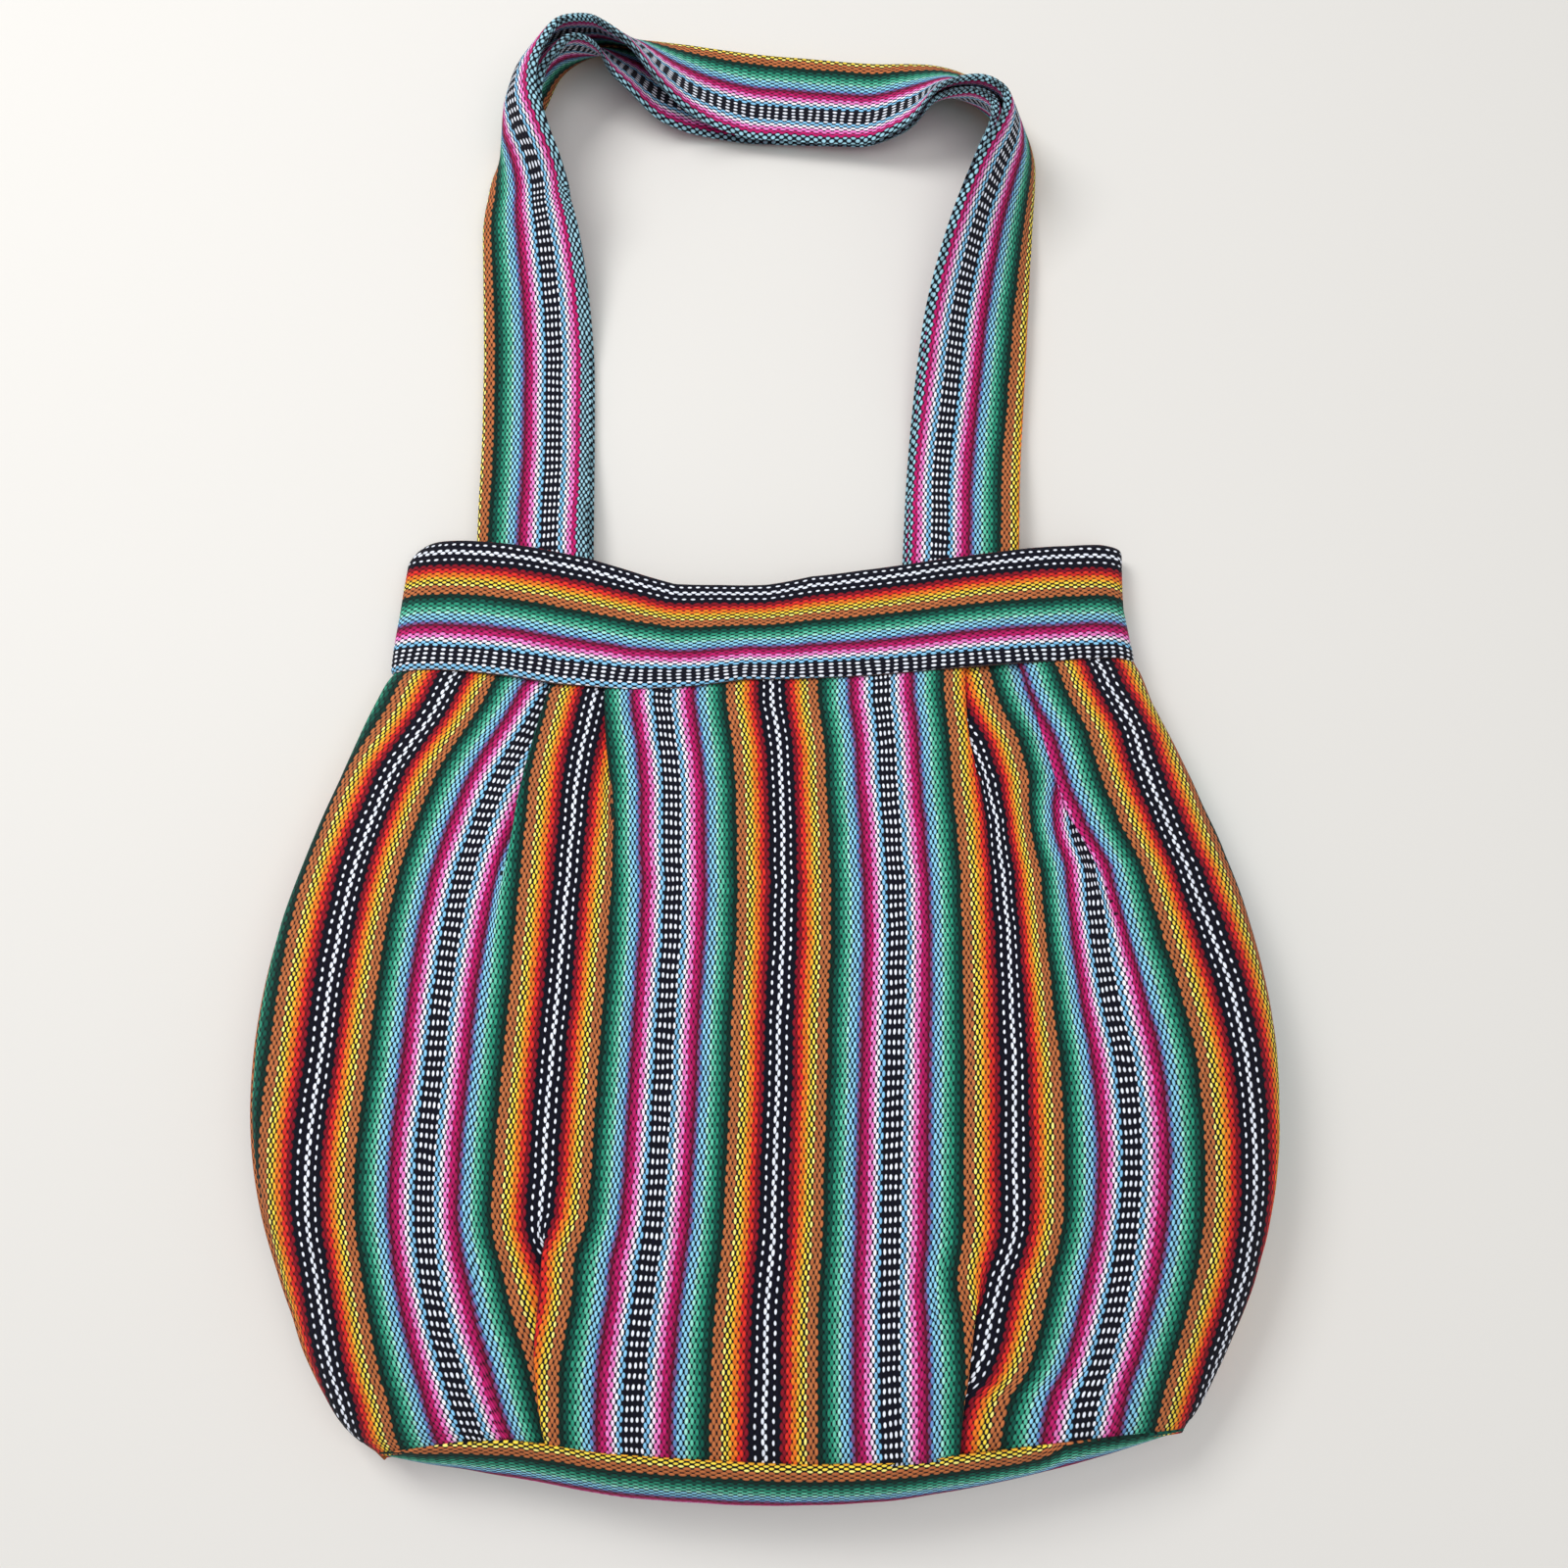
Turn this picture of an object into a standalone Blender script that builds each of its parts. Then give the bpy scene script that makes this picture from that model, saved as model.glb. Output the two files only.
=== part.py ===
"""A pleated shoulder bag of hand-woven striped cloth, lying on its back on a table.

X is the bag's width, Y runs from its base to its handles and Z is up from the table. A front and
a back panel are pleated into a folded band at the mouth, sewn to each other down the sides and to
a boat-shaped strip at the base. Two handles lie one on the other, and stand on edge round their
two top corners.
"""

import math

import bmesh
import bpy
import numpy as np
from mathutils import Matrix

# Driving sizes, in metres. Halves are half widths across the bag, seams are the heights of the
# side seams, and crowns are the heights of the front along the middle.
MOUTH_HALF, BAND_HALF, BELLY_HALF, BASE_HALF = 0.1365, 0.140, 0.1802, 0.135
MOUTH_SEAM, BAND_SEAM, BELLY_SEAM, BASE_SEAM = 0.006, 0.010, 0.020, 0.014
MOUTH_CROWN, BAND_CROWN, BELLY_CROWN, BASE_CROWN = 0.020, 0.032, 0.048, 0.037
BAND_WIDTH = 0.049
BELLY_DROP = 0.150  # from the band down to the widest row
PANEL_DROP = 0.272  # from the band down to the base seam
# How far the middle of the front slumps towards the base, at the mouth, the band and the base.
MOUTH_SAG, BAND_SAG, BASE_SAG = 0.020, 0.0115, 0.0055
BACK_SAG = 0.65  # the back's share of that
SEAM_ROLL = 0.012  # how far both side seams are turned round the bag, clockwise from the base
BASE_BULGE = 0.0140
BASE_SHIFT, BASE_TILT = 0.006, 0.0045  # the base hangs a little to one side
DOME, SOLE = 2.3, 4.0  # superellipse exponents of the front and of the back
SOLE_PRESS = 1.06  # over 1, the middle of the back lies flat on the table

CLOTH = 0.0012  # the woven cloth, one layer
BAND_CLOTH = 0.0024  # the band is a strip folded double
HANDLE_CLOTH = 0.0034  # each handle is a strip folded into a flat tube
GAP = 0.0003  # between neighbours that touch
SEAM_GAP = 0.0005  # between the two edges of a seam

HANDLE_WIDTH = 0.0425
HANDLE_FOOT = 0.025  # how far a handle's ends reach into the mouth
HANDLE_TOP = 0.288  # from the band's lower edge up to the top corner on the left
FOOT_LEFT, FOOT_RIGHT = -0.110, 0.096  # the outer edges at the mouth
TOP_LEFT, TOP_RIGHT, TOP_TILT = -0.1145, 0.1100, 0.0275
CORNER_LEFT, CORNER_RIGHT = 0.080, 0.048  # radii of the outer edge
# For each corner: where the handle is twisted most, past the corner's middle, how far before and
# after that place it lies flat again, and the twist there in degrees.
TWIST_LEFT, TWIST_RIGHT = (-0.008, 0.100, 0.100, 84.0), (0.016, 0.092, 0.112, 69.0)
HANDLE_SPREAD = 0.004  # how far the two handles stand apart at a corner
FOOT_RISE = 0.060  # the length over which a handle climbs to the mouth

# Each pleat has the seam that holds it shut, how far it runs from there, the side that its tuck
# goes to, and its course from the band to the base as shares of the panel's half width.
COURSE_DROPS = (0.0, 0.25, 0.78, 1.0)
PLEATS = (
    ("base", 0.066, 1, (-0.66, -0.60, -0.43, -0.57)),
    ("band", 0.070, 1, (-0.55, -0.52, -0.37, -0.50)),
    ("band", 0.066, 1, (-0.41, -0.32, -0.30, -0.42)),
    ("band", 0.056, -1, (0.52, 0.42, 0.30, 0.40)),
    ("base", 0.066, -1, (0.60, 0.50, 0.37, 0.46)),
    ("band", 0.100, 1, (0.68, 0.72, 0.55, 0.62)),
)
SWELL, SWELL_WIDTH = 0.003, 0.022  # how the cloth stands up beside a fold, and sinks behind it
SWELL_RUN, SWELL_START = 1.7, 0.014  # how much further than the pleat that runs, and its start
PLAIN_COLUMNS = (5, 0, 0, 11, 0, 1, 4)  # before the first pleat, between pleats, after the last
FOLD = 0.012  # how deep the tuck goes
DIP = 0.005  # where the lower layer starts to sink
NOSE = 0.0006  # the fold's rounded edge
TUCK = 2 * CLOTH + GAP  # how far down the lower layer lies
TUCK_GAP = 0.0004  # between a tuck's two walls

RING_POINTS = 720
ROWS = 14
BAND_ROWS = (0.0, 0.45, 0.94, 1.0)
BAND_COLUMNS = 44
STRIP_STATIONS, STRIP_COLUMNS = 40, 9
STRIP_END = 0.968  # the base strip's pointed ends stop just short of the corners
HANDLE_STATIONS = 76
STATION_PULL = 0.05  # stations stand closer where a handle turns or twists

SPAN = PANEL_DROP + BASE_BULGE + HANDLE_TOP
Y_BAND = PANEL_DROP + BASE_BULGE - SPAN / 2


def blend(a, b, share):
    return a + (b - a) * share


def ease(share):
    share = min(max(share, 0.0), 1.0)
    return share * share * (3 - 2 * share)


def swell(drop, band, belly, base, power):
    """A size that grows from the band to the belly and shrinks to the base."""
    up = min(drop / BELLY_DROP, 1.0)
    down = max(drop - BELLY_DROP, 0.0) / (PANEL_DROP - BELLY_DROP)
    return band + (belly - band) * math.sin(up * math.pi / 2) - (belly - base) * down**power


def row_sizes(drop):
    """Half width, seam height, crown height, sag, seam roll and lean of the row at this drop."""
    if drop < 0:
        up = -drop / BAND_WIDTH
        return (
            blend(BAND_HALF, MOUTH_HALF, up),
            blend(BAND_SEAM, MOUTH_SEAM, up),
            blend(BAND_CROWN, MOUTH_CROWN, up),
            blend(BAND_SAG, MOUTH_SAG, up),
            0.0,
            0.0,
        )
    down = drop / PANEL_DROP
    return (
        swell(drop, BAND_HALF, BELLY_HALF, BASE_HALF, 2.2),
        swell(drop, BAND_SEAM, BELLY_SEAM, BASE_SEAM, 2.0),
        swell(drop, BAND_CROWN, BELLY_CROWN, BASE_CROWN, 2.0),
        blend(BAND_SAG, BASE_SAG, down),
        SEAM_ROLL * math.sin(math.pi * down),
        max(drop - BELLY_DROP, 0.0) ** 2 / (PANEL_DROP - BELLY_DROP) ** 2,
    )


class Ring:
    """The bag's outer surface in one row, read by the distance round it.

    It starts at the left side, goes over the front to the right side and back under the bag."""

    def __init__(self, drop):
        half, seam, crown, sag, self.roll, lean = row_sizes(drop)
        angle = np.linspace(math.pi, -math.pi, 2 * RING_POINTS + 1)
        front = np.arange(2 * RING_POINTS + 1) <= RING_POINTS
        power = np.where(front, 2 / DOME, 2 / SOLE)
        across = np.sign(np.cos(angle)) * np.abs(np.cos(angle)) ** power
        rise = np.abs(np.sin(angle)) ** power
        x = half * across + BASE_SHIFT * lean
        slump = np.where(front, sag, sag * BACK_SAG) * np.cos(across * math.pi / 2) ** 2
        y = Y_BAND - drop - slump + BASE_TILT * lean * across
        z = np.where(
            front,
            seam + (crown - seam) * rise,
            seam * (1 - np.minimum(SOLE_PRESS * rise, 1.0)),
        )
        self.points = np.stack([x, y, z], axis=1)
        steps = np.hypot(np.diff(x), np.diff(z))
        self.arc = np.concatenate([[0.0], np.cumsum(steps)])
        self.front = self.arc[RING_POINTS]
        self.whole = self.arc[-1]
        tangent = np.gradient(self.points[:, ::2], self.arc, axis=0)
        tangent /= np.linalg.norm(tangent, axis=1)[:, None]
        self.normals = np.stack([-tangent[:, 1], 0 * x, tangent[:, 0]], axis=1)

    def at(self, arc):
        """The point and the outward normal this far round."""
        arc = arc % self.whole
        read = [np.interp(arc, self.arc, self.points[:, k]) for k in range(3)]
        out = np.array([np.interp(arc, self.arc, self.normals[:, k]) for k in range(3)])
        return np.array(read), out / np.linalg.norm(out)

    def span(self, side):
        """Where the front or the back panel starts and ends, short of the side seams."""
        if side == "front":
            return self.roll + GAP / 2, self.front + self.roll - GAP / 2
        return self.whole + self.roll - GAP / 2, self.front + self.roll + GAP / 2

    def arc_over(self, x, side):
        """How far round the front or the back passes this X."""
        half = slice(0, RING_POINTS + 1)
        if side == "back":
            half = slice(2 * RING_POINTS, RING_POINTS - 1, -1)
        return np.interp(x, self.points[half, 0], self.arc[half])

    def over(self, x, side):
        """The point and the outward normal over this X."""
        return self.at(min(self.arc_over(x, side), self.whole - 1e-9))


def loft(name, sections, collection, colour):
    """A closed body through closed sections of equal length, with flat ends."""
    around, along = len(sections[0]), len(sections)
    mesh = bmesh.new()
    bmesh.ops.create_grid(mesh, x_segments=around, y_segments=along - 1, size=1.0)
    mesh.verts.ensure_lookup_table()
    for index, vertex in enumerate(mesh.verts):
        row, column = divmod(index, around + 1)
        vertex.co = sections[row][column % around]
    bmesh.ops.remove_doubles(mesh, verts=mesh.verts, dist=1e-7)
    bmesh.ops.holes_fill(mesh, edges=[e for e in mesh.edges if e.is_boundary], sides=0)
    bmesh.ops.recalc_face_normals(mesh, faces=mesh.faces)
    bmesh.ops.triangulate(mesh, faces=mesh.faces, quad_method="SHORT_EDGE")
    data = bpy.data.meshes.new(name)
    mesh.to_mesh(data)
    mesh.free()
    data.shade_smooth()
    data.set_sharp_from_angle(angle=math.radians(50))
    material = bpy.data.materials.new(name + "_cloth")
    material.use_nodes = True
    shader = material.node_tree.nodes["Principled BSDF"]
    shader.inputs["Base Color"].default_value = (*colour, 1.0)
    shader.inputs["Roughness"].default_value = 0.9
    shader.inputs["Metallic"].default_value = 0.0
    data.materials.append(material)
    collection.objects.link(bpy.data.objects.new(name, data))


def pleat_columns(strength, way):
    """A pleat across: each column's place along the panel and its depth, shut by this strength.

    The lower layer sinks, runs under the fold and comes back to the fold's rounded edge."""
    shut = (
        (-DIP, 0.0),
        (-0.35 * DIP, 0.6 * TUCK),
        (FOLD, TUCK),
        (FOLD, TUCK - TUCK_GAP),
        (NOSE, TUCK - TUCK_GAP),
        (-NOSE, TUCK / 2),
        (NOSE, 0.0),
    )
    open_step = (DIP + NOSE) / (len(shut) - 1)
    columns = []
    for number, (place, depth) in enumerate(shut):
        open_place = number * open_step - DIP
        columns.append((way * blend(open_place, place, strength), depth * strength, way * open_place))
    return columns if way > 0 else columns[::-1]


def panel_row(ring, drop, side):
    """Each column's distance round the ring and depth under it, outside and then inside."""
    start, end = ring.span(side)
    sense = 1 if end > start else -1
    half, shift = (ring.points[RING_POINTS, 0] - ring.points[0, 0]) / 2, ring.points[0, 0]
    outer, inner, folds = [(start, 0.0)], [start], []
    for plain, pleat in zip(PLAIN_COLUMNS, (*PLEATS, None)):
        first, columns = end, []
        if pleat:
            held_by, run, way, course = pleat
            share = np.interp(drop / PANEL_DROP, COURSE_DROPS, course)
            middle = ring.arc_over(shift + half * (1 + share), side)
            away = drop if held_by == "band" else PANEL_DROP - drop
            strength, columns = ease(1 - away / run), []
            swell = SWELL * ease(1 - away / run / SWELL_RUN) * ease(away / SWELL_START)
            folds.append((middle, way, strength, swell))
            columns = pleat_columns(strength, way)
            first = middle + sense * min(c[2] for c in columns)
        begin = inner[-1]
        for step in range(1, plain + 1):
            inner.append(blend(begin, first, step / (plain + 1)))
            outer.append((inner[-1], 0.0))
        for place, depth, open_place in columns:
            outer.append((middle + sense * place, depth))
            inner.append(middle + sense * open_place)
    outer.append((end, 0.0))
    inner.append(end)

    def sunk(arc):
        """How deep the cloth sinks here beside the pleats, less how far it stands up."""
        total = 0.0
        for middle, way, _, swell in folds:
            away = sense * way * (arc - middle) / SWELL_WIDTH
            total -= swell * 2.3 * away * math.exp(-away * away) * (abs(away) < 2)
        return total if side == "front" else max(total, 0.0)

    def tucked(arc):
        """How much thicker the cloth is here, where a tuck runs under it."""
        most = 0.0
        for middle, way, strength, _ in folds:
            away = sense * way * (arc - middle)
            far = FOLD * strength + 2 * CLOTH
            window = ease((away + DIP) / DIP + 1) * ease((far - away) / DIP + 1)
            most = max(most, strength * window)
        return CLOTH + TUCK * most

    return (
        [(arc, depth + sunk(arc)) for arc, depth in outer],
        [(arc, tucked(arc) + sunk(arc)) for arc in inner],
    )


def seam_inset(normal, depth):
    """From the outer surface to the inner one where a panel meets the base strip."""
    return depth * (-normal + np.array([0.0, 0.3, 0.0]))


def panel(name, side, collection, colour):
    sections = []
    for row in range(ROWS):
        drop = PANEL_DROP * row / (ROWS - 1)
        ring = Ring(drop)
        shift = np.array([0.0, -SEAM_GAP / 2 if row == 0 else 0.0, 0.0])
        outer, inner = panel_row(ring, drop, side)
        section = []
        for arc, depth in outer:
            point, normal = ring.at(arc)
            section.append(point - normal * depth + shift)
        for arc, depth in reversed(inner):
            point, normal = ring.at(arc)
            if row == ROWS - 1:
                section.append(point + seam_inset(normal, depth))
            else:
                section.append(point - normal * depth + shift)
        sections.append(section)
    loft(name, sections, collection, colour)


def band(name, side, collection, colour):
    """A strip folded double, its fold at the mouth."""
    sections = []
    for share in BAND_ROWS:
        ring = Ring(-BAND_WIDTH * share)
        start, end = ring.span(side)
        shift = np.array([0.0, SEAM_GAP / 2 if share == 0 else 0.0, 0.0])
        folded = BAND_CLOTH * (0.25 if share == 1.0 else 0.0)
        outer, inner = [], []
        for column in range(BAND_COLUMNS + 1):
            point, normal = ring.at(blend(start, end, column / BAND_COLUMNS))
            outer.append(point - normal * folded + shift)
            inner.append(point - normal * (BAND_CLOTH - folded) + shift)
        sections.append(outer + inner[::-1])
    loft(name, sections, collection, colour)


def base_strip(name, collection, colour):
    """The strip between the two base seams, which bulges out and comes to a point at each end."""
    ring = Ring(PANEL_DROP)
    ends = ring.points[[0, RING_POINTS], 0]
    middle, half = ends.mean(), (ends[1] - ends[0]) / 2
    clear = np.array([0.0, -SEAM_GAP, 0.0])
    sections = []
    for station in range(STRIP_STATIONS):
        across = STRIP_END * math.sin(math.pi * (station / (STRIP_STATIONS - 1) - 0.5))
        front, front_normal = ring.over(middle + half * across, "front")
        back, back_normal = ring.over(middle + half * across, "back")
        bulge = BASE_BULGE * (1 - abs(across) ** 2.5)
        outer = []
        for column in range(STRIP_COLUMNS):
            share = column / (STRIP_COLUMNS - 1)
            point = blend(front, back, share) + clear
            point[1] -= bulge * math.sin(math.pi * share) ** 0.75
            outer.append(point)
        inner = [outer[0] + seam_inset(front_normal, CLOTH)]
        for column in range(1, STRIP_COLUMNS - 1):
            run = outer[column + 1] - outer[column - 1]
            inward = np.array([0.0, -run[2], run[1]])
            inner.append(outer[column] + CLOTH * inward / np.linalg.norm(inward))
        inner.append(outer[-1] + seam_inset(back_normal, CLOTH))
        sections.append(outer + inner[::-1])
    loft(name, sections, collection, colour)


def handle_path():
    """Stations along a handle's outer edge on the table: place, inward direction, twist, corner."""
    top = Y_BAND + HANDLE_TOP
    foot = Y_BAND + BAND_WIDTH - HANDLE_FOOT
    corners = [
        np.array([FOOT_LEFT, foot]),
        np.array([TOP_LEFT, top]),
        np.array([TOP_RIGHT, top - TOP_TILT]),
        np.array([FOOT_RIGHT, foot]),
    ]
    points, middles, length = [corners[0]], [], 0.0
    for number, radius in ((1, CORNER_LEFT), (2, CORNER_RIGHT)):
        here = corners[number]
        into = (here - corners[number - 1]) / np.linalg.norm(here - corners[number - 1])
        out = (corners[number + 1] - here) / np.linalg.norm(corners[number + 1] - here)
        turn = math.acos(np.clip(into @ out, -1, 1))
        reach = radius * math.tan(turn / 2)
        centre = here - into * reach + radius * np.array([into[1], -into[0]])
        spokes = 48
        for step in range(spokes + 1):
            angle = turn * step / spokes
            spoke = np.array([-into[1], into[0]]) * math.cos(angle) + into * math.sin(angle)
            points.append(centre + radius * spoke)
        middles.append(len(points) - 1 - spokes // 2)
    points.append(corners[3])
    points = np.array(points)
    arc = np.concatenate([[0.0], np.cumsum(np.linalg.norm(np.diff(points, axis=0), axis=1))])
    fine = np.linspace(0.0, arc[-1], 20 * HANDLE_STATIONS)
    line = np.stack([np.interp(fine, arc, points[:, k]) for k in range(2)], axis=1)
    along = np.gradient(line, fine, axis=0)
    along /= np.linalg.norm(along, axis=1)[:, None]
    twist = 0 * fine
    for middle, (past, before, after, most) in zip(middles, (TWIST_LEFT, TWIST_RIGHT)):
        away = fine - arc[middle] - past
        share = np.clip(1 - np.abs(away) / np.where(away < 0, before, after), 0.0, 1.0)
        twist = np.maximum(twist, math.radians(most) * share * share * (3 - 2 * share))
    change = np.abs(np.gradient(twist)) + np.linalg.norm(np.gradient(along, axis=0), axis=1)
    pace = np.cumsum(np.gradient(fine) + STATION_PULL * change)
    picks = np.interp(np.linspace(pace[0], pace[-1], HANDLE_STATIONS), pace, range(len(fine)))
    return [(line[i], np.array([along[i, 1], -along[i, 0]]), twist[i]) for i in picks.astype(int)]


def mouth_edge(x, side):
    """Y of the front or the back band's folded edge over this X."""
    return Ring(-BAND_WIDTH).over(x, side)[0][1]


def inside_band(x, y, side):
    """The height of a band's inner face, or that of its folded edge beyond the mouth."""
    drop = -BAND_WIDTH
    for _ in range(4):
        point, normal = Ring(drop).over(x, side)
        drop = max(drop + (point[1] - y), -BAND_WIDTH)
    return point[2] - BAND_CLOTH / normal[2]


def handle(name, layer, collection, colour):
    """One flat tube of cloth. Layer 0 lies on the table, and layer 1 on top of it."""
    sections = []
    for point, inward, twist in handle_path():
        lift, room = [], []
        for reach in (0.0, HANDLE_WIDTH):
            x, y = point + inward * reach
            edge = mouth_edge(x, "back")
            climb = ease((edge + FOOT_RISE - y) / (FOOT_RISE - 2 * GAP))
            lift.append(climb * (inside_band(x, min(y, edge), "back") + GAP))
            edge = mouth_edge(x, "front")
            climb = ease((edge + FOOT_RISE - y) / (FOOT_RISE - 2 * GAP))
            seat = inside_band(x, min(y, edge), "front") - CLOTH - HANDLE_CLOTH
            room.append(climb * max(seat - HANDLE_CLOTH - GAP - lift[-1], 0.0))
        if layer:
            lift = [low + more for low, more in zip(lift, room)]
        tilt = twist + math.asin((lift[1] - lift[0]) / HANDLE_WIDTH)
        wide = np.array([*(inward * math.cos(tilt)), math.sin(tilt)])
        thick = np.array([*(-inward * math.sin(tilt)), math.cos(tilt)])
        upright = math.sin(twist) ** 2
        stack = HANDLE_CLOTH + GAP + HANDLE_SPREAD * upright
        origin = np.array([*(point + inward * stack * upright), lift[0]]) + thick * stack * layer
        edge = 0.3 * HANDLE_CLOTH
        outline = (
            (0.0, edge),
            (edge, 0.0),
            (HANDLE_WIDTH / 2, 0.0),
            (HANDLE_WIDTH - edge, 0.0),
            (HANDLE_WIDTH, edge),
            (HANDLE_WIDTH, HANDLE_CLOTH - edge),
            (HANDLE_WIDTH - edge, HANDLE_CLOTH),
            (HANDLE_WIDTH / 2, HANDLE_CLOTH),
            (edge, HANDLE_CLOTH),
            (0.0, HANDLE_CLOTH - edge),
        )
        sections.append([origin + wide * a + thick * b for a, b in outline])
    loft(name, sections, collection, colour)


def main():
    for old in list(bpy.data.objects):
        bpy.data.objects.remove(old, do_unlink=True)
    bag = bpy.data.collections.new("shoulder_bag")
    bpy.context.scene.collection.children.link(bag)
    panel("front_panel", "front", bag, (0.72, 0.30, 0.05))
    panel("back_panel", "back", bag, (0.08, 0.30, 0.18))
    band("front_band", "front", bag, (0.60, 0.12, 0.05))
    band("back_band", "back", bag, (0.10, 0.10, 0.12))
    base_strip("base_strip", bag, (0.10, 0.42, 0.25))
    handle("back_handle", 0, bag, (0.30, 0.52, 0.75))
    handle("front_handle", 1, bag, (0.62, 0.06, 0.20))
    corners = np.array([v.co for piece in bag.objects for v in piece.data.vertices])
    middle = (corners.min(axis=0) + corners.max(axis=0)) / 2
    for piece in bag.objects:
        piece.data.transform(Matrix.Translation((-middle[0], -middle[1], 0.0)))


main()
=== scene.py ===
"""The looks of a pleated shoulder bag of striped hand-woven cloth, lying on its back on a table.

X is the bag's width, Y runs from its base to its handles and Z is up from the table. The sections
follow the bag as it is sewn: the two panels, the strip at the base, the folded bands at the
mouth, and the two handles.
"""

import math

import bmesh
import bpy
import numpy as np
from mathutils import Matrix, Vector, noise


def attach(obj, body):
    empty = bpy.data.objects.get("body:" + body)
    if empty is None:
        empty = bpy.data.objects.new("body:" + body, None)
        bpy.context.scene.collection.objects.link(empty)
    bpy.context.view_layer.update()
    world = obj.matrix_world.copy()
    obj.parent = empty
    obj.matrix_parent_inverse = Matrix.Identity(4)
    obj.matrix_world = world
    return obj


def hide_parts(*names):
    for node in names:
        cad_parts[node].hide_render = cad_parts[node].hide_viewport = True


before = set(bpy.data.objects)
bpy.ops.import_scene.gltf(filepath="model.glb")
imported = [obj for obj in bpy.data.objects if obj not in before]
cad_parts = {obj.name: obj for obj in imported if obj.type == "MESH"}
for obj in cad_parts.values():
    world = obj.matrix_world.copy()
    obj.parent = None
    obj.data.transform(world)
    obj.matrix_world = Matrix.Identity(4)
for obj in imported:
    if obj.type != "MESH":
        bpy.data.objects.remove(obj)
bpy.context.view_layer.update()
MM = 0.001

# The table, the camera and the light.
# A plain pale table top takes the bag's soft shadow. The camera hangs over the bag, tilted
# 14.5 degrees towards the handles, and the light comes from a broad window above and to the left.


def linear(colour):
    """The linear colour of an sRGB hex value."""
    parts = [int(colour[i : i + 2], 16) / 255 for i in (1, 3, 5)]
    return (*(c / 12.92 if c <= 0.04045 else ((c + 0.055) / 1.055) ** 2.4 for c in parts), 1.0)


def add_node(tree, kind, settings, inputs):
    """One node with its settings; an input takes a value, a socket, or a node's first output."""
    node = tree.nodes.new("ShaderNode" + kind)
    for key, value in settings.items():
        setattr(node, key, value)
    for key, value in inputs.items():
        if isinstance(value, bpy.types.Node):
            value = value.outputs[0]
        if isinstance(value, bpy.types.NodeSocket):
            tree.links.new(value, node.inputs[key])
        else:
            node.inputs[key].default_value = value
    return node


def new_material(name):
    """A material with its tree and its shader."""
    material = bpy.data.materials.new(name)
    material.use_nodes = True
    return material, material.node_tree, material.node_tree.nodes["Principled BSDF"]


TABLE_SIZE = 4.0
TABLE_COLOUR = "#E4E1DC"

table_mesh = bmesh.new()
bmesh.ops.create_grid(table_mesh, x_segments=1, y_segments=1, size=TABLE_SIZE / 2)
table_data = bpy.data.meshes.new("table_top")
table_mesh.to_mesh(table_data)
table_mesh.free()
table = bpy.data.objects.new("table_top", table_data)
bpy.context.scene.collection.objects.link(table)
# Painted board with a fine satin finish: pale, almost white, with no grain to see.
board, _, board_shader = new_material("pale_painted_board")
board_shader.inputs["Base Color"].default_value = linear(TABLE_COLOUR)
board_shader.inputs["Roughness"].default_value = 0.7
table_data.materials.append(board)

camera_data = bpy.data.cameras.new("camera")
camera_data.sensor_width = 36.0
camera_data.lens = 38.25
camera_data.clip_start = 0.01
camera = bpy.data.objects.new("camera", camera_data)
camera.location = (0.0072, -0.193, 0.605)
camera.rotation_euler = (math.radians(14.5), 0.0, 0.0)
bpy.context.scene.collection.objects.link(camera)
bpy.context.scene.camera = camera


def softbox(name, place, aim, size, watts):
    """A square area light that faces a point."""
    light = bpy.data.lights.new(name, "AREA")
    light.size = size
    light.energy = watts
    lamp = bpy.data.objects.new(name, light)
    lamp.location = place
    lamp.rotation_euler = (Vector(aim) - Vector(place)).to_track_quat("-Z", "Y").to_euler()
    bpy.context.scene.collection.objects.link(lamp)


softbox("window", (-0.75, 0.65, 1.25), (0.0, -0.02, 0.0), 0.7, 14.0)
softbox("ceiling", (0.35, -0.35, 1.9), (0.0, -0.05, 0.0), 1.6, 14.0)
world = bpy.data.worlds.new("room")
world.use_nodes = True
world.node_tree.nodes["Background"].inputs["Color"].default_value = (0.96, 0.98, 1.0, 1.0)
world.node_tree.nodes["Background"].inputs["Strength"].default_value = 0.42
bpy.context.scene.world = world
bpy.context.scene.view_settings.view_transform = "Standard"

# The front and the back panel.
# Each is a width of hand-woven cotton, striped from the mouth to the base, gathered into the
# band and the base seam by six flat pleats and sewn to the other down both sides.

# The bag's outline in millimetres, by the drop from the band's lower edge towards the base.
SEAM_LINE = 5.95  # Y of the band's lower edge at the sides
CENTRE = 0.6
BELLY_DROP, PANEL_DROP, BAND_WIDTH = 150.0, 272.0, 49.0
# Half the width, the heights of the side seams and of the crown, and how far a row sags.
HALF = {"mouth": 136.5, "band": 140.0, "belly": 180.2, "base": 135.0}
SEAM = {"mouth": 6.0, "band": 10.0, "belly": 20.0, "base": 14.0}
CROWN = {"mouth": 20.0, "band": 32.0, "belly": 48.0, "base": 37.0}
SAG = {"mouth": 20.0, "band": 11.5, "base": 5.5}
BACK_SAG = 0.65  # the back sags by this share of the front's sag
SEAM_ROLL = 12.0  # how far the side seams roll over to the front
# The powers of the front's and the back's curves, and how hard the back is pressed to the table.
DOME, SOLE, SOLE_PRESS = 2.3, 4.0, 1.06
# How far the side seams draw the cloth in, by the drop, and over which share of each half.
TUCK_IN_RIGHT = ((0, 0), (15, 2.8), (245, 2.8), (272, 0))
TUCK_IN_LEFT = ((0, 0), (45, 2.2), (215, 1.8), (240, 0))
TUCK_IN_SHARE = 0.12
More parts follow.
